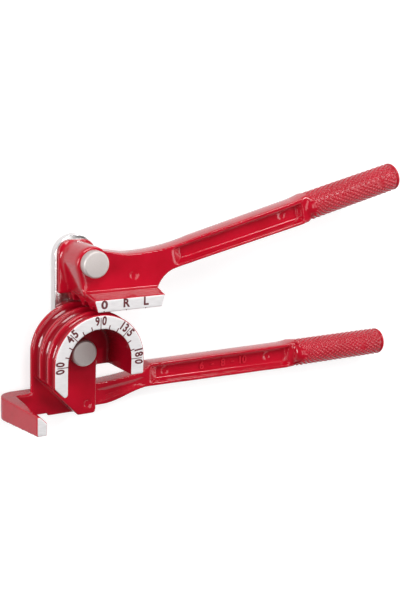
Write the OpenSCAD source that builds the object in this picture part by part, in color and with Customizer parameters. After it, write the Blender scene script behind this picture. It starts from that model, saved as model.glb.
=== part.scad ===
// Hand tube bender: two cast lever handles on a steel link.
// The tool lies on its back: X runs along the main handle, Y from the wheel up to the shoe,
// Z up from the bench along the two pins. The wheel's axis meets the bench at the origin.

/* [Tubes] */
// Outside diameter of the small tube
tube_small = 6; // [4:0.5:7]
// Outside diameter of the medium tube
tube_medium = 8; // [6:0.5:9]
// Outside diameter of the large tube
tube_large = 10; // [8:0.5:11]

/* [Wheel] */
// Radius of the wheel at its rims
rim_r = 26; // [24:0.5:26]
// Radius of the hollow inside the scale face
scale_r = 18; // [17:0.1:19]
// How much narrower the hollow is at the wheel's back
hollow_draft = 2; // [1:0.1:2.5]
// Width of the rim in front of the small groove
front_land = 1; // [0.8:0.1:2]
// Width of each ridge between two grooves
ridge_w = 2.2; // [1.5:0.1:3]
// Width of the back flange behind the large groove
flange_w = 2.4; // [2:0.1:3.5]
// Chamfer round the scale face
scale_chamfer = 0.9; // [0.5:0.1:1]
// Depth of the hollow, from the scale face to the web
hollow_depth = 24.1; // [22:0.1:26]
// How far the pin's post stands in front of the web
post_step = 0.8; // [0.4:0.1:1.5]
// Length of the short right leg below the wheel's axis
right_leg = 8.8; // [6:0.1:11]
// Where the sloping cut starts on the left leg, below the axis
cut_start = 10; // [8:0.1:11]
// Slope of the cut under the left leg
cut_angle = 46.5; // [43:0.5:50]
// Rounding of the left leg's tip
tip_round = 1.6; // [1:0.1:2]
// Right edge of the post
post_right = 9; // [8.5:0.1:10]
// How far the post's foot hangs below the beam
post_overhang = 1.4; // [1:0.1:3]
// Corner radius of the post's foot
post_corner = 2; // [1:0.1:3]

/* [Hook] */
// Gap from the wheel's rim to the finger at its root
hook_gap = 8.6; // [8:0.1:11]
// How far the finger leans towards the wheel at its tip
hook_lean = 3; // [1:0.1:3.5]
// Width of the finger at its root
finger_root = 7.5; // [6.5:0.1:9]
// Width of the finger at its tip
finger_tip = 5.5; // [4.5:0.1:6.5]
// How far the finger's tip stands in front of the scale face
finger_reach = 5.6; // [3:0.1:8]
// How much lower the finger is at its tip
finger_taper = 2; // [0.5:0.1:3]
// Outer corner radius of the hook
hook_corner = 8; // [5:0.5:8]
// Chamfer on the finger's inner top corner at its tip
finger_chamfer = 4; // [3.5:0.1:5]

/* [Main arm] */
// Top of the beam behind the wheel, below the axis
beam_top = 22; // [20:0.1:23]
// Height of the beam
beam_h = 12.5; // [11:0.1:14]
// Thickness of the beam
beam_t = 9; // [8.2:0.1:10]
// Top of the straight arm, below the axis
arm_top = 15.5; // [14.5:0.1:17]
// Height of the straight arm
arm_h = 13.4; // [12:0.1:14.5]
// Thickness of the arm
arm_t = 9; // [8:0.1:9.5]
// How far the arm's bottom hangs below the beam where it starts
arm_sag = 0.8; // [0:0.1:1]
// Where the arm becomes straight
arm_straight = 47.5; // [44:0.5:52]
// Where the arm's bottom edge starts to rise
arm_turn = 18; // [14:0.5:24]
// Length of the ramp in the arm's top edge
arm_ramp = 5; // [4:0.5:8]
// Share of the ramp in the rise of the arm's top edge
ramp_share = 0.55; // [0.3:0.05:0.8]
// Gap between the arm and the shoe handle that swings over it
swing_gap = 0.5; // [0.3:0.1:0.9]

/* [Grips] */
// Radius of both grips
grip_r = 8.4; // [8:0.1:9]
// Length of each grip
grip_len = 63; // [55:0.5:75]
// Rounding of a grip's end
grip_round = 3; // [1:0.1:5]
// Length of the cone that leads into each grip
grip_lead = 5; // [3:0.1:8]
// Radius of that cone at its small end
lead_r = 5; // [4.5:0.1:7]
// How far the main grip's axis lies above the arm's middle
grip_lift = 0.5; // [0:0.1:0.8]
// Where the main grip starts
main_grip_x = 154; // [150:0.5:170]

// How much lower an arm's bottom edge lies at its grip
arm_flare = 1.6; // [0:0.1:1.7]

/* [Pockets] */
// Depth of the pockets in the arms
pocket_depth = 4.4; // [3:0.1:5]
// Rim left above and below a pocket
pocket_rim = 1.8; // [1.4:0.1:2.4]
// How far a pocket's walls lean in from its edge to its floor
pocket_draft = 1.4; // [0.5:0.1:1.6]
// Length of the slope at a pocket's end away from its grip
pocket_ramp = 6; // [2:0.5:9]
// Bare stretch between a pocket and its grip
pocket_end = 7.5; // [7:0.5:14]

/* [Link and pins] */
// Distance between the two pins
pin_distance = 50.5; // [50.5:0.1:53]
// Radius of the link's round ends
link_r = 11.5; // [10.8:0.1:12.5]
// Thickness of the link
link_t = 5.2; // [4.5:0.1:6]
// Radius of a pin's shank
pin_r = 5; // [4.6:0.1:5.5]
// Radius of a pin's head
head_r = 7.15; // [6.5:0.05:8]
// Thickness of a pin's head
head_t = 4.8; // [3.5:0.1:6]
// Chamfer of a pin's head
head_chamfer = 0.7; // [0.3:0.1:1.2]
// Radial play of a pin in what turns on it
pin_play = 0.05; // [0.02:0.01:0.1]
// Radial play of a washer on its pin
washer_play = 0.1; // [0.05:0.01:0.3]
// Radius of the washers
washer_r = 9.6; // [8:0.1:10]
// Thickness of the washers between the castings and the link
thrust_t = 0.5; // [0.3:0.1:1]
// Thickness of the washers behind the link
back_washer_t = 1; // [0.8:0.1:1.6]
// Thickness of the retaining rings
ring_t = 1.1; // [0.8:0.1:1.4]
// Outer radius of the retaining rings
ring_r = 6.6; // [6.2:0.1:7.2]
// Depth of the ring's groove in a pin
ring_groove = 0.8; // [0.5:0.1:1.2]
// Opening of a retaining ring
ring_opening = 4.4; // [3.6:0.1:5]
// Length of a pin's tail behind its ring
tail_len = 2.8; // [2.2:0.1:4]

/* [Shoe] */
// Gap between the wheel's rims and the shoe's face
shoe_gap = 0.6; // [0.4:0.1:1]
// Left end of the shoe's face
shoe_left = -1.7; // [-2.5:0.1:0]
// Right end of the shoe's face
shoe_right = 35.6; // [32:0.1:37]
// Height of the index strip on the shoe's front
strip_h = 6.6; // [6.2:0.1:7.5]
// Rise of the shelf from the strip to the web
shelf_rise = 2.2; // [1:0.1:3]
// Slope of the shoe's ends, across for each unit up
end_slope = 0.3; // [0.1:0.05:0.35]

/* [Shoe arm] */
// Distance from the scale face back to the front of the web
web_setback = 10.2; // [8:0.1:11]
// Thickness of the web and of the shoe arm
web_t = 9.6; // [8:0.1:10.5]
// Radius of the boss round the shoe pin
boss_r = 8.7; // [8.3:0.1:9.4]
// Half the width of the boss plate against the link
plate_w = 10.4; // [10:0.1:11]
// Corner radius of the boss plate
plate_corner = 7; // [5:0.1:8]
// Top of the boss plate, above the shoe pin
plate_rise = 9.2; // [8.9:0.1:10]
// Thickness of the boss plate
boss_t = 2.5; // [2:0.1:3]
// Foot of the boss plate, below the shoe pin
boss_foot = 19; // [18:0.1:20]
// Slope of the boss's left wall, across for each unit down
wall_slope = 0.25; // [0.2:0.01:0.3]
// Depth of the hollow in the web's top edge, measured up from the shoe pin
web_dip = 3.3; // [2:0.1:4]
// Where that hollow is deepest
dip_x = 22; // [18:0.5:26]
// Radius of the bay between the shoe and its arm
bay_r = 15; // [14:0.1:15.5]
// How far the bay lies from the grip, along the arm
bay_u = 95; // [94:0.5:97]
// Slope of the shoe arm
lever_angle = 14; // [13:0.5:15]
// Where the shoe grip starts
shoe_grip_x = 140; // [138:0.5:143]
// Height of that point above the shoe pin
grip_rise = 23.2; // [22:0.1:24]
// Length of the tapered stretch of the arm
lever_len = 80; // [70:0.5:84]
// Height of the arm at its narrow end
lever_narrow = 12.7; // [11.8:0.1:13]
// How much of that height lies under the grip's axis
lever_low = 6.7; // [6:0.1:7]
// Height of the arm at the grip
lever_wide = 13.4; // [12:0.1:14]

/* [Mould marks] */
// Radius of the ejector marks
ejector_r = 2.4; // [1.5:0.1:2.6]
// Depth of the ejector marks
ejector_depth = 0.4; // [0.2:0.05:0.8]
// How far the first mark in each pocket lies from the pocket's end
mark_inset = 12; // [8:0.5:18]
// How far the main pocket's second mark lies from its end at the grip
mark_far = 14.5; // [8:0.5:18]
// How far the web's mark lies to the right of the hollow in its edge
mark_right = 2; // [0:0.5:4]
// How far the web's mark lies below the shoe pin
mark_low = 8; // [6:0.5:9]

/* [Hidden] */
$fn = 96;
// How far two forms of one casting run into each other, and how far a cut runs past a face
join = 0.5;
over = 1;
// How far the rounding of the leg's tip crosses the two faces it joins
bite = 0.1;
// Stretches in an eased edge
ease_steps = 10;

// Stack along the pins, from the bench up
ring_z = tail_len;
back_washer_z = ring_z + ring_t;
link_z = back_washer_z + back_washer_t;
thrust_z = link_z + link_t;
cast_z = thrust_z + thrust_t;
flange_z = cast_z + flange_w;
large_z = flange_z + tube_large / 2;
medium_z = large_z + tube_large / 2 + ridge_w + tube_medium / 2;
small_z = medium_z + tube_medium / 2 + ridge_w + tube_small / 2;
dial_z = small_z + tube_small / 2 + front_land;
grooves = [[large_z, tube_large], [medium_z, tube_medium], [small_z, tube_small]];

// Wheel and post
hollow_r = scale_r - hollow_draft;
hollow_z = dial_z - hollow_depth;
post_z = hollow_z + post_step;
post_foot = beam_top + beam_h + post_overhang;

// Beam, hook and arm
beam_bottom = beam_top + beam_h;
beam_back = flange_z - beam_t;
arm_front = cast_z - swing_gap;
arm_back = arm_front - arm_t;
arm_bottom = arm_top + arm_h;
arm_mid = -(arm_top + arm_bottom) / 2;
finger_z = dial_z + finger_reach;
finger_in = -rim_r - hook_gap;
finger_out = finger_in - finger_root;

// Shoe and its handle
pin_y = pin_distance;
shoe_face = rim_r + shoe_gap;
strip_top = shoe_face + strip_h;
shelf_top = strip_top + shelf_rise;
web_front = dial_z - web_setback;
web_back = web_front - web_t;
boss_z = cast_z + boss_t;
shoe_grip_y = pin_y + grip_rise;
shoe_grip_z = (web_front + web_back) / 2;
lever_high = lever_narrow - lever_low;

// Colours of the castings and of the steel pieces
red = [0.72, 0.05, 0.09];
steel = [0.75, 0.74, 0.73];

// Smooth step from a to b, level at both ends
function eased(a, b) = [
    for (i = [0 : ease_steps])
        let (t = i / ease_steps, s = t * t * (3 - 2 * t))
        [a.x + (b.x - a.x) * t, a.y + (b.y - a.y) * s]
];

// Curve from a to b that ends level at b
function swept(a, b) = [
    for (i = [0 : ease_steps])
        let (t = 1 - i / ease_steps)
        [b.x + (a.x - b.x) * t, b.y + (a.y - b.y) * t * t]
];

// A point given along the shoe arm's axis and across it, from the start of its grip
function lever(u, v) = [
    shoe_grip_x + u * cos(lever_angle) - v * sin(lever_angle),
    shoe_grip_y + u * sin(lever_angle) + v * cos(lever_angle)
];

// A flat form that stands between two heights
module slab(low, high) {
    translate([0, 0, low])
        linear_extrude(high - low)
            children();
}

// Round bar with a rounded free end, along +X, with a cone in front of its start
module grip_bar() {
    core = grip_r - grip_round;
    rotate([0, 90, 0])
        rotate_extrude() {
            square([grip_r, grip_len - grip_round]);
            square([core, grip_len]);
            translate([core, grip_len - grip_round])
                intersection() {
                    circle(grip_round);
                    square(grip_round);
                }
            polygon([[0, -grip_lead], [lead_r, -grip_lead], [grip_r, 0], [0, 0]]);
        }
}

// Shallow round mark that an ejector left at a point of a face
module ejector_mark(x, y, face) {
    translate([x, y, face - ejector_depth])
        cylinder(r = ejector_r, h = ejector_depth + over);
}

// Section of the wheel's rim: radius across, height up
module rim_section() {
    difference() {
        polygon([
            [hollow_r, cast_z], [rim_r, cast_z], [rim_r, dial_z - scale_chamfer],
            [rim_r - scale_chamfer, dial_z], [scale_r, dial_z]
        ]);
        for (g = grooves)
            translate([rim_r, g[0]])
                circle(g[1] / 2);
    }
}

// Straight leg of the rim, down from the axis
module rim_leg(length) {
    rotate([90, 0, 0])
        linear_extrude(length)
            rim_section();
}

// Floor of the hollow, from the arch down to the right leg's foot
module floor_outline() {
    r = hollow_r + join;
    intersection() {
        circle(r);
        translate([-r, 0])
            square([2 * r, r]);
    }
    translate([-r, -right_leg])
        square([2 * r, right_leg]);
}

// Flat post that carries the wheel's pin and stands on the beam
module post_outline() {
    r = hollow_r + join;
    corner = [post_right - post_corner, -post_foot + post_corner];
    translate([-r, corner.y])
        square([r + post_right, -corner.y]);
    translate([-r, -post_foot])
        square([r + corner.x, post_corner]);
    translate(corner)
        circle(post_corner);
}

// Everything under the slope of the left leg and post, in front of the flange
module slope_cut() {
    size = 4 * rim_r;
    translate([-rim_r, -cut_start, flange_z])
        rotate([0, 0, -cut_angle])
            translate([-size, -size, 0])
                cube([2 * size, size, size]);
}

// Sharp tip of the left leg, outside the circle that rounds it
module tip_cut() {
    inset = tip_round - bite;
    run = inset / tan((90 - cut_angle) / 2);
    fall = (rim_r - scale_r) * tan(cut_angle);
    slab(post_z, dial_z + over)
        translate([-scale_r, -cut_start - fall])
            difference() {
                polygon([
                    [0, run], [-run * cos(cut_angle), run * sin(cut_angle)], [0, -over],
                    [hollow_draft, -over], [hollow_draft, run]
                ]);
                translate([-inset, run])
                    circle(tip_round);
            }
}

// Bending wheel: arch, legs, floor and post
module wheel() {
    difference() {
        union() {
            rotate_extrude(angle = 180)
                rim_section();
            rim_leg(right_leg);
            mirror([1, 0, 0])
                rim_leg(beam_top);
            slab(cast_z, hollow_z)
                floor_outline();
            slab(cast_z, post_z)
                post_outline();
        }
        slope_cut();
        tip_cut();
    }
}

// Finger of the hook in plan, from the beam's back to its tip
module finger_plan() {
    tip = finger_in + hook_lean;
    difference() {
        polygon([
            [finger_out, beam_back], [finger_in, beam_back], [finger_in, flange_z], [tip, finger_z],
            [tip - finger_tip, finger_z], [finger_out, flange_z]
        ]);
        translate([finger_out, beam_back])
            difference() {
                translate([-over, -over])
                    square(hook_corner + over);
                translate([hook_corner, hook_corner])
                    circle(hook_corner);
            }
    }
}

// Block that fills the far side of a plane through a point
module beyond(point, normal) {
    size = 4 * rim_r;
    translate(point)
        rotate([0, acos(normal.z / norm(normal)), atan2(normal.y, normal.x)])
            translate([-size, -size, 0])
                cube([2 * size, 2 * size, size]);
}

// Finger with its inner top corner cut away and its bottom edge rising to the tip
module finger() {
    run = finger_z - flange_z;
    difference() {
        translate([0, -beam_top, 0])
            rotate([90, 0, 0])
                linear_extrude(beam_h)
                    finger_plan();
        beyond([finger_in, -beam_top, flange_z], [run, run, finger_chamfer - hook_lean]);
        beyond([finger_in, -beam_bottom, flange_z], [0, -run, finger_taper]);
    }
}

// Beam behind the wheel, from the finger to the post
module beam() {
    slab(beam_back, flange_z)
        translate([finger_in - join, -beam_bottom])
            square([post_right - finger_in + join, beam_h]);
    slab(cast_z, flange_z)
        translate([-rim_r, -beam_top - join])
            square([rim_r, beam_top + join]);
}

// Side of the arm, from the beam to the grip
module arm_outline() {
    low = -beam_bottom - arm_sag;
    ramp_y = -arm_top - ramp_share * (beam_top - arm_top);
    grip_root = main_grip_x + join;
    polygon(concat(
        [[0, -beam_bottom], [post_right, -beam_bottom], [post_right, low]],
        eased([arm_turn, low], [arm_straight, -arm_bottom]),
        [[grip_root, -arm_bottom - arm_flare], [grip_root, -arm_top], [arm_straight, -arm_top]],
        swept([arm_straight - arm_ramp, ramp_y], [post_right, -beam_top]),
        [[0, -beam_top]]
    ));
}

// Pocket with leaning walls and a sloping left end, along +X, in a face at height zero. Its lower edge
// falls by fall along its length
module arm_pocket(length, height, fall) {
    half = height / 2;
    lean = pocket_draft / pocket_depth;
    difference() {
        translate([0, -half - fall - over, -pocket_depth])
            cube([length, height + fall + 2 * over, pocket_depth + over]);
        beyond([length / 2, half, 0], [0, 1, -lean]);
        beyond([length / 2, -half - fall / 2, 0], [-fall / length, -1, -lean]);
        beyond([0, 0, 0], [-pocket_depth, 0, -pocket_ramp]);
        beyond([length, 0, 0], [1, 0, -lean]);
    }
}

module main_arm() {
    pocket_floor = arm_front - pocket_depth;
    pocket_len = main_grip_x - pocket_end - arm_straight;
    pocket_fall = arm_flare * pocket_len / (main_grip_x - arm_straight);
    difference() {
        slab(arm_back, arm_front)
            arm_outline();
        translate([arm_straight, arm_mid, arm_front])
            arm_pocket(pocket_len, arm_h - 2 * pocket_rim, pocket_fall);
        ejector_mark(arm_straight + mark_inset, arm_mid, pocket_floor);
        ejector_mark(main_grip_x - pocket_end - mark_far, arm_mid, pocket_floor);
    }
    translate([main_grip_x, arm_mid + grip_lift, grip_r])
        grip_bar();
}

// Casting with the wheel, the hook, the arm and the grip
module main_handle() {
    color(red)
        difference() {
            union() {
                wheel();
                finger();
                beam();
                main_arm();
            }
            translate([0, 0, cast_z - over])
                cylinder(r = pin_r, h = post_z - cast_z + 2 * over);
            ejector_mark(post_right - 2 * ejector_r, -post_foot + 2.4 * ejector_r, post_z);
        }
}

// Shoe's section: height of the tool across, distance from the wheel's axis up
module shoe_section() {
    difference() {
        polygon([
            [cast_z, shoe_face], [dial_z, shoe_face], [dial_z, strip_top], [web_front, shelf_top],
            [web_back, shelf_top], [cast_z, strip_top]
        ]);
        for (g = grooves)
            translate([g[0], rim_r])
                circle(g[1] / 2);
    }
}

// Shoe with its three grooves and its sloping ends
module shoe_block() {
    lean = end_slope * (shelf_top - shoe_face);
    intersection() {
        translate([-shoe_right, 0, 0])
            rotate([90, 0, 90])
                linear_extrude(3 * shoe_right)
                    mirror([1, -1, 0])
                        shoe_section();
        slab(cast_z, dial_z)
            polygon([
                [shoe_left, shoe_face], [shoe_right, shoe_face],
                [shoe_right + lean, shelf_top], [shoe_left - lean, shelf_top]
            ]);
    }
}

// Web and arm seen from the front, with the bay cut out between the shoe and the arm
module lever_outline() {
    bay = lever(-bay_u, -lever_low - bay_r);
    difference() {
        polygon(concat(
            [[shoe_left, strip_top], [bay.x, strip_top], lever(-bay_u, -lever_low)],
            [lever(-lever_len, -lever_low), lever(join, -lever_wide / 2 - arm_flare), lever(join, lever_wide / 2)],
            swept(lever(-lever_len, lever_high), [dip_x, pin_y + web_dip]),
            eased([dip_x, pin_y + web_dip], [0, pin_y + boss_r - 2])
        ));
        translate(bay)
            circle(bay_r);
    }
}

// Rounded plate of the boss, which lies against the link's washer
module plate_outline() {
    corner = [plate_w - plate_corner, pin_y + plate_rise - plate_corner];
    foot = pin_y - boss_foot;
    translate([-plate_w, foot])
        square([2 * plate_w, corner.y - foot]);
    translate([-corner.x, corner.y - join])
        square([2 * corner.x, plate_corner + join]);
    for (side = [-1, 1])
        translate([side * corner.x, corner.y])
            circle(plate_corner);
}

// Boss round the shoe's pin: a barrel, the wall down to the shoe and the plate at the link
module boss() {
    wall_x = boss_r + join;
    translate([0, pin_y, cast_z])
        cylinder(r = boss_r, h = web_front - cast_z);
    slab(boss_z - join, web_front)
        polygon([
            [-wall_x, pin_y], [-wall_x + wall_slope * (pin_y - strip_top), strip_top],
            [boss_r, strip_top], [boss_r, pin_y]
        ]);
    slab(cast_z, boss_z)
        plate_outline();
}

// Casting with the shoe, the boss, the arm and the grip
module shoe_handle() {
    mark = lever(-pocket_end - mark_inset, 0);
    pocket_at = lever(-bay_u, lever_narrow / 2 - lever_low);
    pocket_len = bay_u - pocket_end;
    color(red)
        difference() {
            union() {
                shoe_block();
                boss();
                slab(web_back, web_front)
                    lever_outline();
                translate([shoe_grip_x, shoe_grip_y, shoe_grip_z])
                    rotate([0, 0, lever_angle])
                        grip_bar();
            }
            translate([pocket_at.x, pocket_at.y, web_front])
                rotate([0, 0, lever_angle])
                    arm_pocket(pocket_len, lever_narrow - 2 * pocket_rim, arm_flare * pocket_len / bay_u);
            translate([0, pin_y, cast_z - over])
                cylinder(r = pin_r + pin_play, h = web_front - cast_z + 2 * over);
            ejector_mark(dip_x + mark_right, pin_y - mark_low, web_front);
            ejector_mark(mark.x, mark.y, web_front - pocket_depth);
        }
}

// Steel strap that ties the two pins together
module link_plate() {
    color(steel)
        difference() {
            slab(link_z, thrust_z) {
                circle(link_r);
                translate([0, pin_y])
                    circle(link_r);
                translate([-link_r, 0])
                    square([2 * link_r, pin_y]);
            }
            translate([0, 0, link_z - over])
                cylinder(r = pin_r + pin_play, h = link_t + 2 * over);
            translate([0, pin_y, link_z - over])
                cylinder(r = pin_r, h = link_t + 2 * over);
        }
}

// Headed pin that stands on the bench, with its head on a seat and a groove for its ring
module pin(seat) {
    groove_r = pin_r - ring_groove;
    face = seat + head_t;
    color(steel)
        rotate_extrude()
            polygon([
                [0, 0], [pin_r - ring_groove / 2, 0], [pin_r, ring_groove / 2],
                [pin_r, ring_z], [groove_r, ring_z], [groove_r, back_washer_z], [pin_r, back_washer_z],
                [pin_r, seat], [head_r, seat], [head_r, face - head_chamfer], [head_r - head_chamfer, face],
                [0, face]
            ]);
}

module wheel_pin() {
    pin(post_z);
}

module shoe_pin() {
    translate([0, pin_y, 0])
        pin(web_front);
}

// Plain washer that lies at a height on its pin
module washer(low, thick) {
    color(steel)
        translate([0, 0, low])
            difference() {
                cylinder(r = washer_r, h = thick);
                translate([0, 0, -over])
                    cylinder(r = pin_r + washer_play, h = thick + 2 * over);
            }
}

module wheel_thrust_washer() {
    washer(thrust_z, thrust_t);
}

module shoe_thrust_washer() {
    translate([0, pin_y, 0])
        washer(thrust_z, thrust_t);
}

module wheel_back_washer() {
    washer(back_washer_z, back_washer_t);
}

module shoe_back_washer() {
    translate([0, pin_y, 0])
        washer(back_washer_z, back_washer_t);
}

// Open spring ring that sits in a pin's groove
module retaining_ring() {
    color(steel)
        slab(ring_z, back_washer_z)
            difference() {
                circle(ring_r);
                circle(pin_r - ring_groove);
                translate([-ring_opening / 2, 0])
                    square([ring_opening, 2 * ring_r]);
            }
}

module wheel_retaining_ring() {
    retaining_ring();
}

module shoe_retaining_ring() {
    translate([0, pin_y, 0])
        retaining_ring();
}

main_handle();
shoe_handle();
link_plate();
wheel_pin();
shoe_pin();
wheel_thrust_washer();
shoe_thrust_washer();
wheel_back_washer();
shoe_back_washer();
wheel_retaining_ring();
shoe_retaining_ring();
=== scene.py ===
# %% [markdown]
# This scene dresses a hand tube bender: two red castings on a bright steel strap, with a grooved wheel
# and a forming shoe between which a tube is bent. The imported CAD model is the frame that everything
# hangs on, so it is loaded first.

# %% load the frame
import math

import bmesh
import bpy
import numpy as np
from mathutils import Matrix, Vector


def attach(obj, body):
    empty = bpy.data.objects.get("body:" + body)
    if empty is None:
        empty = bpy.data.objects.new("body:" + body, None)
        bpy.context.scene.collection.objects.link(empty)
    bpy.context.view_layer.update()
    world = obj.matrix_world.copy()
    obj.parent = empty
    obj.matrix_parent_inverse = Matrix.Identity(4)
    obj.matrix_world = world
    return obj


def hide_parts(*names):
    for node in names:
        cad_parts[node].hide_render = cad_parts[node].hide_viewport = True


MM = 0.001
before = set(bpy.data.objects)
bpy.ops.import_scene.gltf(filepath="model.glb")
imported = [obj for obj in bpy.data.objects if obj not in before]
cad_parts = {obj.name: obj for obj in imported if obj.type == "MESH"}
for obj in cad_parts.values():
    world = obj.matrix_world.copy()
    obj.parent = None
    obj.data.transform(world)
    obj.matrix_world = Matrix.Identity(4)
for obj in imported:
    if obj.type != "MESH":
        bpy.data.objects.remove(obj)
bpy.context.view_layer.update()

# %% [markdown]
# The camera stands where the photograph was taken from. Its three turns and its distance were found by
# fitting the wheel's scale, the pin heads and the grips, so the render can be laid over the photograph.
# The sensor is set for the picture's long side, which here is its height.

# %% camera
DIAL_Z = 42.4
PICTURE_HEIGHT, FOCAL_PIXELS, SENSOR = 601, 1000, 36
TURNS = (("Z", -0.0378453), ("X", 0.2322217), ("Y", 0.5589055))
EYE = Vector((51.545, 32.297, 515.366))
NEAREST, FARTHEST = 0.01, 20

to_camera = Matrix.Identity(3)
for axis, angle in TURNS:
    to_camera = to_camera @ Matrix.Rotation(angle, 3, axis)
from_camera = to_camera.transposed()
lens_data = bpy.data.cameras.new("camera")
lens_data.sensor_width = SENSOR
lens_data.lens = FOCAL_PIXELS / PICTURE_HEIGHT * SENSOR
lens_data.clip_start, lens_data.clip_end = NEAREST, FARTHEST
camera = bpy.data.objects.new("camera", lens_data)
camera.matrix_world = from_camera.to_4x4()
camera.location = (from_camera @ EYE + Vector((0, 0, DIAL_Z))) * MM
bpy.context.scene.collection.objects.link(camera)
bpy.context.scene.camera = camera
print("camera at", [round(v, 4) for v in camera.location], "lens", round(lens_data.lens, 2))

# %% [markdown]
# The photograph has a plain white ground and wide, soft light. The floor is a pale sheet far larger than
# the tool, and a low round wall of the same sheet stands behind the lamps. They keep the tool's shadow, and
# add a glow of their own only for the camera and for reflections, so the ground reads white without more
# light falling on the paint. Reflections get less of it from the tool's left, so that the faces turned that
# way keep their red. The world itself is just a weak fill.

# %% floor and world
scene = bpy.context.scene
scene.view_settings.view_transform = "Standard"
FLOOR_HALF, WALL_R, WALL_H, WALL_SIDES = 3.0, 2.6, 1.8, 48
SHEET_GREY, WORLD_FILL = 0.55, 0.08
GLOW_SEEN, GLOW_LEFT, GLOW_RIGHT, GLOW_EDGE = 0.65, 0.25, 0.65, (-0.03, 0.05)
RANGE_SOCKETS = ("From Min", "From Max", "To Min", "To Max")


def link_nodes(tree, pairs):
    """Joins (node, output) to (node, input) for each pair."""
    for (source, out), (target, into) in pairs:
        tree.links.new(source.outputs[out], target.inputs[into])


def spread(tree, source, output, *limits):
    """Maps a value's range, low to high, onto another range."""
    node = tree.nodes.new("ShaderNodeMapRange")
    for socket, value in zip(RANGE_SOCKETS, limits):
        node.inputs[socket].default_value = value
    link_nodes(tree, [((source, output), (node, "Value"))])
    return node


def math_node(tree, operation):
    """A Math node that does one operation."""
    node = tree.nodes.new("ShaderNodeMath")
    node.operation = operation
    return node


def glow_strength(tree):
    """One strength for rays from the camera, and one for mirrored and clear rays that grows to the right."""
    path = tree.nodes.new("ShaderNodeLightPath")
    coords = tree.nodes.new("ShaderNodeTexCoord")
    axes = tree.nodes.new("ShaderNodeSeparateXYZ")
    across = spread(tree, axes, "X", *GLOW_EDGE, GLOW_LEFT, GLOW_RIGHT)
    other, weak = math_node(tree, "MAXIMUM"), math_node(tree, "MULTIPLY")
    total = math_node(tree, "MULTIPLY_ADD")
    total.inputs[1].default_value = GLOW_SEEN
    link_nodes(tree, [
        ((coords, "Object"), (axes, 0)), ((across, 0), (weak, 1)),
        ((path, "Is Glossy Ray"), (other, 0)), ((path, "Is Transmission Ray"), (other, 1)),
        ((other, 0), (weak, 0)), ((path, "Is Camera Ray"), (total, 0)), ((weak, 0), (total, 2)),
    ])
    return total


floor_bm = bmesh.new()
bmesh.ops.create_grid(floor_bm, x_segments=1, y_segments=1, size=FLOOR_HALF)
wall = bmesh.ops.create_cone(
    floor_bm, cap_ends=False, segments=WALL_SIDES, radius1=WALL_R, radius2=WALL_R, depth=WALL_H)
bmesh.ops.translate(floor_bm, verts=wall["verts"], vec=(0, 0, WALL_H / 2))
floor_mesh = bpy.data.meshes.new("floor")
floor_bm.to_mesh(floor_mesh)
floor_bm.free()
floor = bpy.data.objects.new("floor", floor_mesh)
scene.collection.objects.link(floor)

floor_paint = bpy.data.materials.new("floor_white")
floor_paint.use_nodes = True
tree = floor_paint.node_tree
tree.nodes.clear()
sheet = tree.nodes.new("ShaderNodeBsdfDiffuse")
sheet.inputs["Color"].default_value = (SHEET_GREY, SHEET_GREY, SHEET_GREY, 1)
glow = tree.nodes.new("ShaderNodeEmission")
both = tree.nodes.new("ShaderNodeAddShader")
out = tree.nodes.new("ShaderNodeOutputMaterial")
link_nodes(tree, [
    ((glow_strength(tree), 0), (glow, "Strength")),
    ((sheet, 0), (both, 0)), ((glow, 0), (both, 1)), ((both, 0), (out, "Surface")),
])
floor_mesh.materials.append(floor_paint)

world = bpy.data.worlds.new("studio")
world.use_nodes = True
scene.world = world
tree = world.node_tree
tree.nodes.clear()
fill = tree.nodes.new("ShaderNodeBackground")
fill.inputs["Color"].default_value = (1, 1, 1, 1)
fill.inputs["Strength"].default_value = WORLD_FILL
out = tree.nodes.new("ShaderNodeOutputWorld")
link_nodes(tree, [((fill, 0), (out, "Surface"))])
print("floor", FLOOR_HALF * 2, "m wide, world fill", WORLD_FILL)

# %% [markdown]
# Five soft lamps stand round the tool, as in a light tent. The key is beyond the tool's top edge in the
# picture, one as strong stands at the left, one hangs above, a weaker one stands at the right, and a small
# one beyond the grips lights the arms' edges. None stands where the front faces would mirror it into the
# camera, so the paint keeps its deep red there and its gloss on the edges.

# %% lamps
TARGET = Vector((0.08, 0.02, 0.02))
LAMPS = (
    ("key", (-0.15, 0.95, 0.80), 0.5, 6.5),
    ("left", (-1.00, 0.15, 0.50), 0.4, 6.5),
    ("above", (0.08, 0.05, 1.25), 0.7, 4.0),
    ("right", (1.10, 0.05, 0.60), 0.7, 3.5),
    ("edge", (0.62, 0.70, 0.80), 0.3, 4.0),
)
for name, place, size, power in LAMPS:
    lamp = bpy.data.lights.new(name, "AREA")
    lamp.shape, lamp.size, lamp.energy = "SQUARE", size, power
    holder = bpy.data.objects.new(name, lamp)
    holder.location = place
    holder.rotation_euler = (TARGET - Vector(place)).to_track_quat("-Z", "Y").to_euler()
    scene.collection.objects.link(holder)
    print("lamp", name, power, "W")

# %% [markdown]
# The castings are die-cast aluminium under gloss red paint. The sharp CAD edges would look machined, and
# a Bevel modifier trips over the CAD mesh's thin triangles. So a merged copy is rebuilt from small voxels
# and smoothed: every edge then carries the small radius that paint and a worn mould leave.

# %% soft castings
VOXEL, SOFTEN, HALF_WAY, MERGE = 0.45, 8, 0.5, 1e-6
CASTINGS = (("main_casting", "main_handle"), ("shoe_casting", "shoe_handle"))


def merged_copy(node):
    """A bmesh with the CAD node's surface in one piece."""
    bm = bmesh.new()
    bm.from_mesh(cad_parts[node].data)
    bmesh.ops.remove_doubles(bm, verts=bm.verts, dist=MERGE)
    return bm


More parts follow.
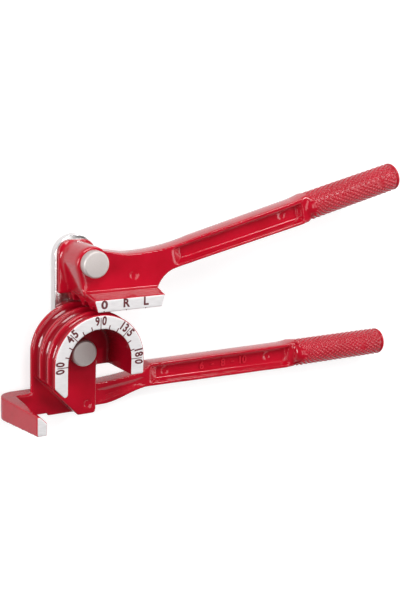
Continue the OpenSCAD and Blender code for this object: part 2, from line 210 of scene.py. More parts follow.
def new_piece(name, bm):
    """A mesh object at the origin made from a bmesh, smooth shaded."""
    mesh = bpy.data.meshes.new(name)
    bm.to_mesh(mesh)
    bm.free()
    mesh.shade_smooth()
    piece = bpy.data.objects.new(name, mesh)
    scene.collection.objects.link(piece)
    return piece


def settle(piece):
    """Turns the piece's modifiers into its mesh."""
    bpy.context.view_layer.update()
    graph = bpy.context.evaluated_depsgraph_get()
    done = bpy.data.meshes.new_from_object(piece.evaluated_get(graph))
    done.name = piece.name
    piece.modifiers.clear()
    piece.data = done


def soft_casting(name, node):
    """A copy of a CAD node with small radii on all its edges."""
    piece = new_piece(name, merged_copy(node))
    voxels = piece.modifiers.new("voxels", "REMESH")
    voxels.mode, voxels.voxel_size, voxels.use_smooth_shade = "VOXEL", VOXEL * MM, True
    smooth = piece.modifiers.new("soften", "SMOOTH")
    smooth.factor, smooth.iterations = HALF_WAY, SOFTEN
    settle(piece)
    return piece


castings = {}
for name, node in CASTINGS:
    castings[name] = soft_casting(name, node)
    print(name, len(castings[name].data.polygons), "voxel faces")

# %% [markdown]
# The next three shapes are too shallow and too soft for modelling tools, so they are laid on by moving the
# castings' vertices, all at once as arrays. Every move fades out at its ends, because a step would show
# as a crease in gloss paint.

# %% vertices as arrays
def points_of(piece):
    """The piece's vertices in millimetres."""
    flat = np.empty(len(piece.data.vertices) * 3, np.float32)
    piece.data.vertices.foreach_get("co", flat)
    return flat.reshape(-1, 3).astype(float) / MM


def put_points(piece, points):
    """Moves the piece's vertices to points in millimetres."""
    piece.data.vertices.foreach_set("co", (points * MM).astype(np.float32).ravel())
    piece.data.update()


def smooth_step(value, low, high):
    """Zero below low, one above high, and a soft climb between them."""
    t = np.clip((value - low) / (high - low), 0, 1)
    return t * t * (3 - 2 * t)


def band(value, low, high, soft):
    """One between low and high, fading out over soft on both sides."""
    return smooth_step(value, low - soft, low) * (1 - smooth_step(value, high, high + soft))


main_points, shoe_points = points_of(castings["main_casting"]), points_of(castings["shoe_casting"])
print("castings of", len(main_points), "and", len(shoe_points), "vertices")

# %% [markdown]
# The arms' long edges are crowned, which is what makes them fade from red to white in the photograph: the
# face leans to the front at its front edge, and turns away towards the back. Going back from the front
# edge, the crown first rises and then falls along a parabola. It is laid on near the outline, less and
# less down the back. The last crown of each arm lifts its top to meet the grip.

# %% crowned arms
MAIN_FACE, SHOE_FACE = (10.1, 9.0), (32.2, 9.6)
SHOE_GRIP, SHOE_SLOPE = (140.0, 73.7, 27.4), 14.0
SLOPE_COS, SLOPE_SIN = math.cos(math.radians(SHOE_SLOPE)), math.sin(math.radians(SHOE_SLOPE))
TAKES_HOLD, LETS_GO = (-1.6, -1.0), (1.0, 4.5)
STEPS = np.linspace(0, 1, 15)


def crown(points, face, edge, side, slopes, drop, ends, fade):
    """Crowns the face along an outline: side is 1 for an upper edge and -1 for a lower one."""
    front, deep = face
    x, y, z = points.T
    under = side * (np.interp(x, edge[:, 0], edge[:, 1]) - y)
    behind = np.clip(front - z, 0, deep)
    rise = slopes[0] * behind - (slopes[0] - slopes[1]) / (2 * deep) * behind ** 2 - drop
    near = smooth_step(under, *TAKES_HOLD) * (1 - smooth_step(under, *LETS_GO))
    points[:, 1] += side * rise * near * band(x, *ends, fade)


def lever(u, v):
    """A point along the shoe arm's axis and across it, from the start of its grip."""
    return np.stack([SHOE_GRIP[0] + u * SLOPE_COS - v * SLOPE_SIN,
                     SHOE_GRIP[1] + u * SLOPE_SIN + v * SLOPE_COS], -1)


def swept(a, b):
    """A curve from a that ends level at b."""
    return np.stack([b[0] + (a[0] - b[0]) * STEPS, b[1] + (a[1] - b[1]) * STEPS ** 2], -1)


def wave(start, run, rise):
    """A curve that is level at both ends."""
    return np.stack([start[0] + run * STEPS, start[1] + rise * STEPS ** 2 * (3 - 2 * STEPS)], -1)


MAIN_TOP = np.concatenate([[[-40, -22]], swept((42.5, -19.08), (9.0, -22.0)), [[47.5, -15.5], [160, -15.5]]])
MAIN_LOW = np.concatenate([[[-40, -35.3]], wave((18, -35.3), 29.5, 6.4), [[154.5, -30.5], [160, -30.5]]])
SHOE_TOP = np.concatenate([wave((0, 57.2), 22, -3.4)[:-1], swept(lever(-80, 6.0), (22.0, 53.8)),
                           lever(np.array([-40.0, 0, 20]), np.array([6.35, 6.7, 6.7]))])
SHOE_LOW = lever(np.array([-95.0, -80, 0, 20]), np.array([-6.7, -6.7, -8.3, -8.3]))
MAIN_CROWNS = (
    (MAIN_TOP, 1, (0.12, -0.05), 0.6, (13, 40), 5),
    (MAIN_TOP, 1, (0.17, -0.15), 0.0, (48, 150), 4),
    (MAIN_LOW, -1, (0.25, -0.2), 0.0, (50, 146), 6),
    (MAIN_TOP, 1, (0, 0), -1.2, (153, 156), 12),
)
SHOE_CROWNS = (
    (SHOE_TOP, 1, (0.22, -0.15), 0.0, (16, 138), 12),
    (SHOE_LOW, -1, (0.25, -0.2), 0.0, (60, 132), 6),
    (SHOE_TOP, 1, (0, 0), -1.0, (138, 141), 12),
)
for shape in MAIN_CROWNS:
    crown(main_points, MAIN_FACE, *shape)
for shape in SHOE_CROWNS:
    crown(shoe_points, SHOE_FACE, *shape)
print("crowns", len(MAIN_CROWNS), "and", len(SHOE_CROWNS))

# %% [markdown]
# Between the wheel's post and the long pocket, the beam has a shallow hollow with soft walls. Its upper
# and lower walls run along two sloping lines, and its ends are softer than its sides.

# %% beam hollow
HOLLOW_DEPTH, HOLLOW_WALL = 1.2, (-1.2, 1.8)
HOLLOW_TOP, HOLLOW_FOOT = (19.6, -26.0, 0.113), (20.1, -31.8, 0.193)
HOLLOW_LEFT, HOLLOW_RIGHT, HOLLOW_REACH = (15.5, 3), (42.5, 3.5), (10, 47)
BEAM_FRONT = (9.3, 10.6, 2.5)


def sloping(x, at, height, slope):
    """The height at x of a straight line through a point."""
    return height + (x - at) * slope


x, y, z = main_points.T
in_height = np.minimum(sloping(x, *HOLLOW_TOP) - y, y - sloping(x, *HOLLOW_FOOT))
in_length = np.minimum((x - HOLLOW_LEFT[0]) / HOLLOW_LEFT[1], (HOLLOW_RIGHT[0] - x) / HOLLOW_RIGHT[1])
inside = np.minimum(in_height, in_length)
on_beam = band(z, *BEAM_FRONT) * (x > HOLLOW_REACH[0]) * (x < HOLLOW_REACH[1])
main_points[:, 2] -= HOLLOW_DEPTH * smooth_step(inside, *HOLLOW_WALL) * on_beam
print("hollow in the beam", int((inside > 0).sum()), "vertices")

# %% [markdown]
# The knurled sleeves made further on are what shows of the grips. So the bars under them are drawn in, and
# the arms' corners close in on the grips.

# %% bars under the knurls
MAIN_GRIP = (154.0, -21.7, 8.4)
BAR_R, BAR_END, NOT_ZERO = 7.3, 61.6, 1e-9
CLOSES_AT, CLOSES_TO = (-11, -2.2, -0.9), (12.5, 8.4, BAR_R)


def draw_in(points, start, slope):
    """Closes the arm in on a grip's axis, and thins the bar behind it."""
    turn = np.array(Matrix.Rotation(math.radians(slope), 3, "Z"))
    local = (points - start) @ turn
    reach = np.hypot(local[:, 1], local[:, 2])
    limit = np.interp(local[:, 0], CLOSES_AT, CLOSES_TO)
    outside = (local[:, 0] > CLOSES_AT[0]) & (reach > limit)
    share = np.where(outside, limit / np.maximum(reach, NOT_ZERO), 1)
    local[:, 1:] *= share[:, None]
    local[:, 0] = np.minimum(local[:, 0], BAR_END)
    points[:] = local @ turn.T + start
    return int(outside.sum())


drawn = [draw_in(main_points, MAIN_GRIP, 0.0), draw_in(shoe_points, SHOE_GRIP, SHOE_SLOPE)]
put_points(castings["main_casting"], main_points)
put_points(castings["shoe_casting"], shoe_points)
print("drawn in", drawn, "vertices")

# %% [markdown]
# A casting's inner corners are generous: where an arm runs into its grip, where a pocket starts, and where
# the boss grows out of its plate. A Smooth modifier held to a vertex group melts just those places. The
# castings are finished then, and thinned where they are flat.

# %% melted corners
CORNER_PASSES, BOSS_PASSES, LEAST_WEIGHT, CAST_TRIANGLES = 60, 120, 0.01, 180000
MAIN_CORNERS = {
    "scoop": (147, 152.6, 1.5), "scoop_z": (8.5, 10.0),
    "start": (46, 49, 1.5), "start_z": (8.5, 9.5), "sides": (-26.5, -17.8, 0.8),
}
SHOE_CORNERS = {
    "scoop": (-6.0, -1.6, 1.2), "scoop_z": (31.0, 32.0),
    "start": (-96.5, -93, 1.5), "start_z": (30.5, 31.5), "sides": (-4.3, 4.0, 0.8),
}
PIN_Y, BORE_EDGE = 50.5, (5.6, 6.6)
BOSS_RIGHT, BOSS_FOOT, BOSS_Z = (-3.5, 0.0), (36, 38), (13.6, 32.6, 0.8)


def melt(piece, weight, passes):
    """Smooths the piece where weight, one number for each vertex, is above zero."""
    group = piece.vertex_groups.new(name="melt")
    for index in np.flatnonzero(weight > LEAST_WEIGHT):
        group.add([int(index)], float(weight[index]), "REPLACE")
    smooth = piece.modifiers.new("melt", "SMOOTH")
    smooth.factor, smooth.iterations, smooth.vertex_group = HALF_WAY, passes, group.name
    settle(piece)
    piece.vertex_groups.clear()


def arm_corners(along, across, z, scoop, scoop_z, start, start_z, sides):
    """Weights for the scoop at an arm's grip and for the start of its pocket."""
    at_grip = band(along, *scoop) * smooth_step(z, *scoop_z)
    at_start = band(along, *start) * smooth_step(z, *start_z) * band(across, *sides)
    return np.maximum(at_grip, at_start)


def triangles_of(piece):
    """How many triangles the piece's faces come to."""
    return sum(len(p.vertices) - 2 for p in piece.data.polygons)


def thin(piece, triangles):
    """Takes triangles away, first where the piece is flat, until so many are left."""
    before = triangles_of(piece)
    if before > triangles:
        fewer = piece.modifiers.new("thin", "DECIMATE")
        fewer.ratio = triangles / before
        settle(piece)
    piece.data.shade_smooth()
    print(piece.name, before, "->", triangles_of(piece), "triangles")


x, y, z = main_points.T
melt(castings["main_casting"], arm_corners(x, y, z, **MAIN_CORNERS), CORNER_PASSES)
x, y, z = shoe_points.T
right, up = x - SHOE_GRIP[0], y - SHOE_GRIP[1]
along, across = right * SLOPE_COS + up * SLOPE_SIN, up * SLOPE_COS - right * SLOPE_SIN
melt(castings["shoe_casting"], arm_corners(along, across, z, **SHOE_CORNERS), CORNER_PASSES)
x, y, z = points_of(castings["shoe_casting"]).T
off_bore = smooth_step(np.hypot(x, y - PIN_Y), *BORE_EDGE)
boss = (1 - smooth_step(x, *BOSS_RIGHT)) * band(z, *BOSS_Z) * smooth_step(y, *BOSS_FOOT) * off_bore
melt(castings["shoe_casting"], boss, BOSS_PASSES)
for name, body in CASTINGS:
    piece = castings[name]
    thin(piece, CAST_TRIANGLES)
    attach(piece, body)
    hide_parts(body)

# %% [markdown]
# Every finish is a Principled shader with a few patterns on it, so the helpers come first. All patterns
# read Object coordinates: they stay on the piece when it turns, and need no UV map.

# %% finish helpers
def new_material(name):
    """A material with its shader, and the Object coordinates that its patterns read."""
    made = bpy.data.materials.new(name)
    made.use_nodes = True
    shader = made.node_tree.nodes["Principled BSDF"]
    coords = made.node_tree.nodes.new("ShaderNodeTexCoord")
    return made, made.node_tree, shader, coords


def noise(tree, coords, scale, detail=2.0, stretch=(1, 1, 1)):
    """Noise of a given scale per metre, stretched along the axes."""
    mapping = tree.nodes.new("ShaderNodeMapping")
    mapping.inputs["Scale"].default_value = stretch
    pattern = tree.nodes.new("ShaderNodeTexNoise")
    pattern.inputs["Scale"].default_value = scale
    pattern.inputs["Detail"].default_value = detail
    link_nodes(tree, [((coords, "Object"), (mapping, "Vector")), ((mapping, 0), (pattern, "Vector"))])
    return pattern


def blend_colours(tree, factor, first, second):
    """Mixes two colours, or a node's colour and a colour, by a factor."""
    mix = tree.nodes.new("ShaderNodeMix")
    mix.data_type = "RGBA"
    tree.links.new(factor, mix.inputs[0])
    for socket, colour in ((6, first), (7, second)):
        if isinstance(colour, tuple):
            mix.inputs[socket].default_value = (*colour, 1)
        else:
            tree.links.new(colour, mix.inputs[socket])
    return mix.outputs[2]


def roughen(tree, shader, pattern, smoothest, roughest):
    """Lets the roughness follow the middle of a noise pattern's range."""
    rough = spread(tree, pattern, "Fac", 0.3, 0.7, smoothest, roughest)
    link_nodes(tree, [((rough, 0), (shader, "Roughness"))])
    return rough


def bumps(tree, shader, pattern, strength, depth):
    """Raises the surface a little where a pattern is bright."""
    bump = tree.nodes.new("ShaderNodeBump")
    bump.inputs["Strength"].default_value = strength
    bump.inputs["Distance"].default_value = depth
    link_nodes(tree, [((pattern, "Fac"), (bump, "Height")), ((bump, 0), (shader, "Normal"))])


print("nodes to finish", len(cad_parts))

# %% [markdown]
# The paint is one deep red coat with a hard gloss. A plain red shader would look like plastic, so the
# colour wanders a little over the casting. It is lighter on the outer edges, partly as sprayed paint
# thins there and partly as a painted highlight. Painted shade darkens it in the inner corners, in the
# knurl's valleys and in the wheel's grooves and hollow, and the surface has the faint orange peel of a
# sprayed coat. On the grips, hands have dulled the gloss.

# %% red paint
# The third red is the lighter edge colour: partly thinner paint, partly a painted highlight.
PAINT_RED, PAINT_DEEP, PAINT_THIN_AND_LIT = (0.53, 0.004, 0.022), (0.46, 0.003, 0.016), (0.64, 0.02, 0.04)
# The dark red of painted shade, and how much of it the wheel's grooves and hollow get.
PAINT_SHADE, GROOVE_SHADE = (0.10, 0.0005, 0.003), 0.5
POST_REACH, GROOVE_REACH = (0.0125, 0.0140), (0.0230, 0.0258)
PIN_LEVEL, BEAM_LEVEL = (-0.001, 0.001), (-0.020, -0.014)
# The knurl's paint has a duller gloss and stronger painted shade in its valleys.
KNURL_LOOK = (
    ("gloss", "To Min", 0.14), ("gloss", "To Max", 0.24),
    ("low", "From Max", 0.51), ("low", "To Min", 0.95),
    ("Principled BSDF", "Coat Weight", 0.15),
)


def wheel_shade(tree, coords):
    """How much painted shade a place gets deep in the wheel's grooves or hollow, round its axis and down its
    two legs.
    """
    axes, flat = tree.nodes.new("ShaderNodeSeparateXYZ"), tree.nodes.new("ShaderNodeCombineXYZ")
    reach = tree.nodes.new("ShaderNodeVectorMath")
    reach.operation = "LENGTH"
    up, clear = math_node(tree, "MAXIMUM"), math_node(tree, "MAXIMUM")
    both, depth = math_node(tree, "MULTIPLY"), math_node(tree, "MULTIPLY")
    up.inputs[1].default_value = 0.0
    link_nodes(tree, [
        ((coords, "Object"), (axes, 0)), ((axes, "Y"), (up, 0)),
        ((axes, "X"), (flat, "X")), ((up, 0), (flat, "Y")), ((flat, 0), (reach, 0)),
    ])
    off_post = spread(tree, reach, "Value", *POST_REACH, 0.0, 1.0)
    over_pin = spread(tree, axes, "Y", *PIN_LEVEL, 0.0, 1.0)
    inside = spread(tree, reach, "Value", *GROOVE_REACH, GROOVE_SHADE, 0.0)
    over_beam = spread(tree, axes, "Y", *BEAM_LEVEL, 0.0, 1.0)
    link_nodes(tree, [
        ((off_post, 0), (clear, 0)), ((over_pin, 0), (clear, 1)),
        ((inside, 0), (both, 0)), ((over_beam, 0), (both, 1)),
        ((both, 0), (depth, 0)), ((clear, 0), (depth, 1)),
    ])
    return depth


paint, tree, shader, coords = new_material("red_gloss_paint")
shader.inputs["IOR"].default_value = 1.40
shader.inputs["Coat Weight"].default_value = 0.4
shader.inputs["Coat Roughness"].default_value = 0.03
clouds = spread(tree, noise(tree, coords, scale=90, detail=3.0), "Fac", 0.35, 0.7, 0.0, 1.0)
curvature = tree.nodes.new("ShaderNodeNewGeometry")
# Convex edges turn lighter: partly thinner paint, partly a painted highlight.
edge = spread(tree, curvature, "Pointiness", 0.53, 0.62, 0.0, 0.75)
# Darker in hollows, creases and the knurl's valleys: painted shade.
low = spread(tree, curvature, "Pointiness", 0.36, 0.47, 0.85, 0.0)
body_red = blend_colours(tree, clouds.outputs[0], PAINT_RED, PAINT_DEEP)
edges_thinned_and_lit = blend_colours(tree, edge.outputs[0], body_red, PAINT_THIN_AND_LIT)
corners_shaded = blend_colours(tree, low.outputs[0], edges_thinned_and_lit, PAINT_SHADE)
# Darker in the wheel's grooves and hollow: painted shade.
grooves_shaded = blend_colours(tree, wheel_shade(tree, coords).outputs[0], corners_shaded, PAINT_SHADE)
tree.links.new(grooves_shaded, shader.inputs["Base Color"])
gloss = roughen(tree, shader, noise(tree, coords, scale=420, detail=4.0), 0.10, 0.18)
bumps(tree, shader, noise(tree, coords, scale=1100), strength=0.12, depth=0.00006)
# The node named low carries the painted shade of corners and valleys.
gloss.name, low.name = "gloss", "low"

knurl_paint = paint.copy()
knurl_paint.name = "red_knurl_paint"
for part, socket, value in KNURL_LOOK:
    knurl_paint.node_tree.nodes[part].inputs[socket].default_value = value
print("materials", paint.name, knurl_paint.name)

# %% [markdown]
# The scale faces and the hook's end are milled bare after painting. Bare aluminium cut by a mill or a
# grinder is pale, only half glossy, and grained in one direction. The ink of the marks is nearly black, and
# patchy where it has worn.

# %% bare aluminium and marking ink
BARE_DARK, BARE_LIGHT = (0.74, 0.715, 0.72), (0.90, 0.875, 0.88)
INK_DARK, INK_WORN = (0.055, 0.008, 0.011), (0.17, 0.012, 0.02)

bare, tree, shader, coords = new_material("bare_aluminium")
shader.inputs["Metallic"].default_value = 0.35
grain = noise(tree, coords, scale=900, detail=3.0, stretch=(0.25, 1.6, 1))
pale = blend_colours(tree, grain.outputs["Fac"], BARE_DARK, BARE_LIGHT)
tree.links.new(pale, shader.inputs["Base Color"])
roughen(tree, shader, grain, 0.38, 0.58)
bumps(tree, shader, noise(tree, coords, scale=2600, stretch=(0.2, 1.5, 1)), strength=0.15, depth=0.00003)

ink, tree, shader, coords = new_material("marking_ink")
patchy = noise(tree, coords, scale=1500, detail=3.0)
inked = blend_colours(tree, patchy.outputs["Fac"], INK_DARK, INK_WORN)
tree.links.new(inked, shader.inputs["Base Color"])
shader.inputs["Roughness"].default_value = 0.55
print("materials", bare.name, ink.name)

# %% [markdown]
# The two scale faces lie in one plane, and the hook's end in another. The castings are cut along a plane
# just under each face, which leaves a clean edge between paint and bare metal, and the faces above the
# cut take the second material.

# %% milled faces
MILLED = ((DIAL_Z - 0.15, DIAL_Z + 0.4, -30.0), (47.82, 48.4, -60.0))
CUT_DIST = 1e-7


def mill(piece):
    """Gives the second material to the faces above each cut, and counts them."""
    bm = bmesh.new()
    bm.from_mesh(piece.data)
    for low, _, _ in MILLED:
        geom = [*bm.verts, *bm.edges, *bm.faces]
        bmesh.ops.bisect_plane(bm, geom=geom, dist=CUT_DIST, plane_co=(0, 0, low * MM), plane_no=(0, 0, 1))
    count = 0
    for face in bm.faces:
        middle = face.calc_center_median() / MM
        for low, high, left in MILLED:
            if low < middle.z < high and middle.x > left:
                face.material_index = 1
                count += 1
    bm.to_mesh(piece.data)
    bm.free()
    return count


for piece in castings.values():
    piece.data.materials.clear()
    piece.data.materials.append(paint)
    piece.data.materials.append(bare)
    print(piece.name, "milled faces", mill(piece))

# %% [markdown]
# Both grips carry a coarse diamond knurl, rolled at about 30 degrees. It is real geometry here, because
# a bump map goes flat at the grip's outline. A tube of quads is poked, its first edges are dissolved so
# that diamonds are left, and each diamond is inset and raised. At the front, the knurl starts a little
# later, where the arm's scoop runs into it.

# %% knurled tube
AROUND, ALONG = 20, 17
VALLEY_R, KNURL_AT, KNURL_LEN = 7.5, -4.4, 67.2
DIAMOND_GAP, DIAMOND_RISE = 0.8, 1.05
START_RINGS = ((KNURL_AT - 0.4, VALLEY_R), (KNURL_AT - 0.4, 6.5))
END_RINGS = ((63.0, 8.2), (63.5, 8.45), (64.0, 8.4), (64.3, 8.1), (64.4, 7.5), (64.4, 3.0))
SCOOP_BACK, SCOOP_LEN, SAME_PLACE = 4.0, 12.0, 1e-6


def put_round(v, x, radius):
    """Moves a vertex to a place along the grip's axis and a distance from it."""
    across = v.co.yz.normalized() * radius
    v.co = (x, across.x, across.y)


def close_end(bm, x, rings):
    """Goes on from the tube's open end at x through rings of a place and a radius, and caps the last."""
    ring = [e for e in bm.edges if e.is_boundary and all(abs(v.co.x - x) < SAME_PLACE for v in e.verts)]
    for place, radius in rings:
        grown = bmesh.ops.extrude_edge_only(bm, edges=ring)["geom"]
        for v in (g for g in grown if isinstance(g, bmesh.types.BMVert)):
            put_round(v, place, radius)
        ring = [g for g in grown if isinstance(g, bmesh.types.BMEdge)]
    bmesh.ops.contextual_create(bm, geom=ring)


def knurled_tube():
    """A grip along +X from the origin, in millimetres."""
    bm = bmesh.new()
    bmesh.ops.create_cone(
        bm, cap_ends=False, segments=AROUND, radius1=VALLEY_R, radius2=VALLEY_R, depth=KNURL_LEN)
    bmesh.ops.rotate(bm, verts=bm.verts, matrix=Matrix.Rotation(math.pi / 2, 3, "Y"))
    bmesh.ops.translate(bm, verts=bm.verts, vec=(KNURL_AT + KNURL_LEN / 2, 0, 0))
    long_edges = [e for e in bm.edges if abs(e.verts[0].co.x - e.verts[1].co.x) > 1]
    bmesh.ops.subdivide_edges(bm, edges=long_edges, cuts=ALONG - 1)
    first = [e for e in bm.edges if not e.is_boundary]
    bmesh.ops.poke(bm, faces=bm.faces)
    for v in bm.verts:
        put_round(v, v.co.x, VALLEY_R)
    bmesh.ops.dissolve_edges(bm, edges=first, use_verts=False, use_face_split=False)
    bmesh.ops.recalc_face_normals(bm, faces=bm.faces)
    diamonds = [f for f in bm.faces if len(f.verts) == 4]
    bmesh.ops.inset_individual(
        bm, faces=diamonds, thickness=DIAMOND_GAP, depth=DIAMOND_RISE, use_even_offset=True)
    close_end(bm, KNURL_AT + KNURL_LEN, END_RINGS)
    close_end(bm, KNURL_AT, START_RINGS)
    bmesh.ops.recalc_face_normals(bm, faces=bm.faces)
    for v in bm.verts:
        near = max(0, min(1, 1 - (v.co.x - KNURL_AT) / SCOOP_LEN))
        v.co.x += SCOOP_BACK * near * max(0, v.co.z / VALLEY_R) ** 2
    return bm


print("knurl on a grid of", AROUND, "by", ALONG)

# %% [markdown]
# One subdivision rounds the diamonds as paint does. Each grip then gets the small flat that the mould's
# ejector pin leaves, and goes to its place along its arm.

# %% grips
GRIPS = (
    ("main_grip", "main_handle", MAIN_GRIP, 0.0, 46.5),
    ("shoe_grip", "shoe_handle", SHOE_GRIP, SHOE_SLOPE, 49.5),
)
MARK_R, MARK_LEVEL = 2.4, 7.75
for name, body, start, slope, mark_at in GRIPS:
    piece = new_piece(name, knurled_tube())
    round_off = piece.modifiers.new("round", "SUBSURF")
    round_off.levels = round_off.render_levels = 1
    settle(piece)
    for v in piece.data.vertices:
        if math.hypot(v.co.x - mark_at, v.co.y) < MARK_R and v.co.z > MARK_LEVEL:
            v.co.z = MARK_LEVEL
    place = Matrix.Translation(Vector(start) * MM) @ Matrix.Rotation(math.radians(slope), 4, "Z")
    piece.data.transform(place @ Matrix.Scale(MM, 4))
    piece.data.shade_smooth()
    piece.data.materials.append(knurl_paint)
    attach(piece, body)
    print(name, len(piece.data.polygons), "faces")

# %% [markdown]
# Marks are stamped and inked, or cast in relief. Text objects give the figures, turned into meshes before
# they are placed, and thin bars give the lines. Inked marks stand a few hundredths of a millimetre proud,
# as a thick ink does.

# %% figures and lines
INKED = (DIAL_Z - 0.15, DIAL_Z + 0.05)
STROKE, BOLD, JOIN_DIST = 0.55, 0.035, 1e-5


def figure(bm, text, height, place, turn=0.0, width=1.0, levels=INKED, bold=BOLD):
    """Adds a figure of a given height, centred on a place, to a bmesh in millimetres."""
    low, high = levels
    curve = bpy.data.curves.new("figure", "FONT")
    curve.body, curve.size = text, 1.0
    curve.extrude, curve.offset, curve.resolution_u = 0.5, bold, 3
    holder = bpy.data.objects.new("figure", curve)
    scene.collection.objects.link(holder)
    bpy.context.view_layer.update()
    mesh = bpy.data.meshes.new_from_object(holder.evaluated_get(bpy.context.evaluated_depsgraph_get()))
    points = np.array([v.co for v in mesh.vertices])
    low_corner, high_corner = points.min(0), points.max(0)
    middle = (low_corner + high_corner) / 2
    scale = height / (high_corner[1] - low_corner[1])
    mesh.transform(Matrix.Translation(-Vector(middle)))
    mesh.transform(Matrix.Diagonal((scale * width, scale, high - low, 1)))
    spot = Vector((*place, (low + high) / 2))
    mesh.transform(Matrix.Translation(spot) @ Matrix.Rotation(turn, 4, "Z"))
    bm.from_mesh(mesh)
    bpy.data.objects.remove(holder)
    bpy.data.curves.remove(curve)
    bpy.data.meshes.remove(mesh)


def line(bm, start, end, thick=STROKE, levels=INKED):
    """Adds a thin bar between two points of a face to a bmesh in millimetres."""
    low, high = levels
    a, b = Vector(start), Vector(end)
    made = bmesh.ops.create_cube(bm, size=1)["verts"]
    bmesh.ops.scale(bm, verts=made, vec=((b - a).length, thick, high - low))
    bmesh.ops.rotate(bm, verts=made, matrix=Matrix.Rotation(math.atan2(b.y - a.y, b.x - a.x), 3, "Z"))
    bmesh.ops.translate(bm, verts=made, vec=(*((a + b) / 2), (low + high) / 2))


def place_marks(name, bm, body, material):
    """Makes one piece of a face's marks, on the casting that carries them."""
    bmesh.ops.remove_doubles(bm, verts=bm.verts, dist=JOIN_DIST)
    bmesh.ops.scale(bm, verts=bm.verts, vec=(MM, MM, MM))
    piece = new_piece(name, bm)
    piece.data.shade_flat()
    piece.data.materials.append(material)
    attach(piece, body)
    print(name, len(piece.data.polygons), "faces")


print("inked marks from", INKED[0], "to", INKED[1], "mm")

# %% [markdown]
# The wheel's scale has figures at every 45 degrees, split by a long line, and short lines every 15. It runs
# from the left over the top to the right, so its angles are counted down from 180.

# %% scale marks
SCALE_R, FIGURE_R, FIGURE_H, FIGURE_WIDE = 18.0, 22.5, 4.9, 0.8
LINE_IN, SHORT_OUT, LONG_OUT, LONG_STROKE = 0.1, 2.3, 1.5, 0.42
ONE_FIGURE, TWO_FIGURES = 1.95, 3.0
FIGURES = {0: ("0", "0"), 45: ("4", "5"), 90: ("9", "0"), 135: ("13", "5"), 180: ("18", "0")}


def polar(radius, angle):
    """A point of the scale face at a distance and an angle from the wheel's axis."""
    return (radius * math.cos(angle), radius * math.sin(angle))


marks = bmesh.new()
for degrees in range(0, 181, 15):
    angle = math.radians(180 - degrees)
    if degrees not in FIGURES:
        line(marks, polar(SCALE_R - LINE_IN, angle), polar(SCALE_R + SHORT_OUT, angle))
        continue
    line(marks, polar(SCALE_R - LINE_IN, angle), polar(FIGURE_R + LONG_OUT, angle), LONG_STROKE)
    before, after = FIGURES[degrees]
    for text, side in ((before, 1), (after, -1)):
        turned = angle + side * (ONE_FIGURE if len(text) == 1 else TWO_FIGURES) / FIGURE_R
        figure(marks, text, FIGURE_H, polar(FIGURE_R, turned), turned - math.pi / 2, FIGURE_WIDE)
place_marks("scale_marks", marks, "main_handle", ink)

# %% [markdown]
# The shoe's strip has three index marks: a zero and the letters for a right-hand and a left-hand measure,
# each with a dot or a short line at the edge that meets the scale.

# %% index marks
INDEX = (("0", 1.85, 1.25, 0.9), ("R", 14.6, 1.0, 0.6), ("L", 26.0, 1.0, 0.6))
STRIP_LOW, INDEX_H, INDEX_UP = 26.6, 4.6, 4.1
TICK_LEFT, TICK_UP, TICK_STROKE = 0.2, 0.05, 0.45
marks = bmesh.new()
for text, x, wide, tall in INDEX:
    figure(marks, text, INDEX_H, (x, STRIP_LOW + INDEX_UP), 0.0, wide)
    foot = STRIP_LOW + TICK_UP
    line(marks, (x - TICK_LEFT, foot), (x - TICK_LEFT, foot + tall), TICK_STROKE)
place_marks("index_marks", marks, "shoe_handle", ink)

# %% [markdown]
# The three tube sizes stand in relief on the floor of the main arm's pocket, cast with the arm and painted
# with it.

# %% size figures
POCKET_FLOOR = 5.7
RELIEF = (POCKET_FLOOR - 0.2, POCKET_FLOOR + 0.7)
SIZES = (("6", 84.5), ("-", 92.0), ("8", 99.5), ("-", 106.5), ("10", 114.0))
SIZE_Y, SIZE_H, SIZE_WIDE, SIZE_BOLD = -22.2, 5.0, 0.95, 0.03
DASH_Y, DASH_HALF, DASH_STROKE = -22.3, 1.1, 0.7
marks = bmesh.new()
for text, x in SIZES:
    if text == "-":
        line(marks, (x - DASH_HALF, DASH_Y), (x + DASH_HALF, DASH_Y), DASH_STROKE, RELIEF)
    else:
        figure(marks, text, SIZE_H, (x, SIZE_Y), 0.0, SIZE_WIDE, RELIEF, SIZE_BOLD)
place_marks("size_figures", marks, "main_handle", paint)

# %% [markdown]
# The pins are turned on a lathe and the link is cut from plated strap. Turned faces show fine rings round
# the pin's axis, so the pins' material reads the distance from that axis, and strap shows lines along
# its length.

# %% steel finishes
STEEL_DARK, STEEL_LIGHT = (0.56, 0.50, 0.48), (0.70, 0.65, 0.63)
STRAP_DARK, STRAP_LIGHT, STRAP_ROUGH = (0.78, 0.75, 0.75), (0.90, 0.87, 0.87), (0.16, 0.26)
WASHER_DARK, WASHER_LIGHT, WASHER_ROUGH = (0.55, 0.54, 0.53), (0.70, 0.69, 0.68), (0.3, 0.45)
LATHE_RINGS = (("Scale", 900), ("Distortion", 1.2), ("Detail", 2.0), ("Detail Scale", 1.5))


def turned_steel(name, centre_y):
    """Steel from a lathe, with rings round an axis along Z."""
    made, tree, shader, coords = new_material(name)
    shader.inputs["Metallic"].default_value = 0.7
    mapping = tree.nodes.new("ShaderNodeMapping")
    mapping.inputs["Location"].default_value = (0, -centre_y * MM, 0)
    mapping.inputs["Scale"].default_value = (1, 1, 0.15)
    rings = tree.nodes.new("ShaderNodeTexWave")
    rings.wave_type, rings.rings_direction = "RINGS", "Z"
    for socket, value in LATHE_RINGS:
        rings.inputs[socket].default_value = value
    link_nodes(tree, [((coords, "Object"), (mapping, "Vector")), ((mapping, 0), (rings, "Vector"))])
    speckle = noise(tree, coords, scale=1600, detail=3.0)
    colour = blend_colours(tree, speckle.outputs["Fac"], STEEL_DARK, STEEL_LIGHT)
    tree.links.new(colour, shader.inputs["Base Color"])
    roughen(tree, shader, speckle, 0.45, 0.6)
    bumps(tree, shader, rings, strength=0.12, depth=0.00003)
    return made


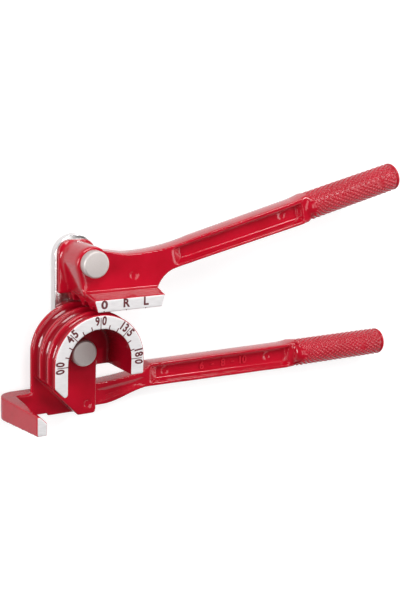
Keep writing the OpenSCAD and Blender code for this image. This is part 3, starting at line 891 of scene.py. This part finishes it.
def strap_steel(name, dark, light, rough):
    """Rolled steel with fine lines along Y."""
    made, tree, shader, coords = new_material(name)
    shader.inputs["Metallic"].default_value = 1.0
    drawn = noise(tree, coords, scale=700, detail=3.0, stretch=(2.0, 0.06, 1.0))
    colour = blend_colours(tree, drawn.outputs["Fac"], dark, light)
    tree.links.new(colour, shader.inputs["Base Color"])
    roughen(tree, shader, drawn, *rough)
    bumps(tree, shader, drawn, strength=0.1, depth=0.00003)
    return made


wheel_pin_steel = turned_steel("turned_wheel_pin", 0.0)
shoe_pin_steel = turned_steel("turned_shoe_pin", PIN_Y)
strap = strap_steel("plated_strap", STRAP_DARK, STRAP_LIGHT, STRAP_ROUGH)
washer_steel = strap_steel("washer_steel", WASHER_DARK, WASHER_LIGHT, WASHER_ROUGH)
print("materials", wheel_pin_steel.name, shoe_pin_steel.name, strap.name, washer_steel.name)

# %% [markdown]
# The steel pieces keep their CAD shapes, but a copy of each gets a small bevel, because a real edge is
# never sharp enough to lose its highlight. The flat faces are dissolved into single faces first, so that
# the Bevel modifier meets clean edges.

# %% steel pieces
FLAT_WITHIN, BEVEL_OVER, SHARP_OVER = math.radians(1), math.radians(40), math.radians(35)
BEVEL_STEPS = 3
BEVELS = {
    "link_plate": (0.5, strap, "plated_steel", "link"),
    "wheel_pin": (0.25, wheel_pin_steel, "pin_steel", "main_handle"),
    "shoe_pin": (0.25, shoe_pin_steel, "pin_steel", "link"),
}
for which, body in (("wheel", "main_handle"), ("shoe", "link")):
    for kind, width in (("thrust_washer", 0.1), ("back_washer", 0.15), ("retaining_ring", 0.15)):
        BEVELS[f"{which}_{kind}"] = (width, washer_steel, "washer_steel", body)
for node, (width, material, slot, body) in BEVELS.items():
    bm = merged_copy(node)
    bmesh.ops.dissolve_limit(bm, angle_limit=FLAT_WITHIN, verts=bm.verts, edges=bm.edges)
    piece = new_piece(node + "_steel", bm)
    bevel = piece.modifiers.new("edge", "BEVEL")
    bevel.width, bevel.segments, bevel.limit_method = width * MM, BEVEL_STEPS, "ANGLE"
    bevel.angle_limit = BEVEL_OVER
    settle(piece)
    piece.data.shade_smooth()
    piece.data.set_sharp_from_angle(angle=SHARP_OVER)
    piece.data.materials.clear()
    piece.data.materials.append(material)
    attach(piece, body)
    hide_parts(node)
    print(piece.name, len(piece.data.polygons), "faces")
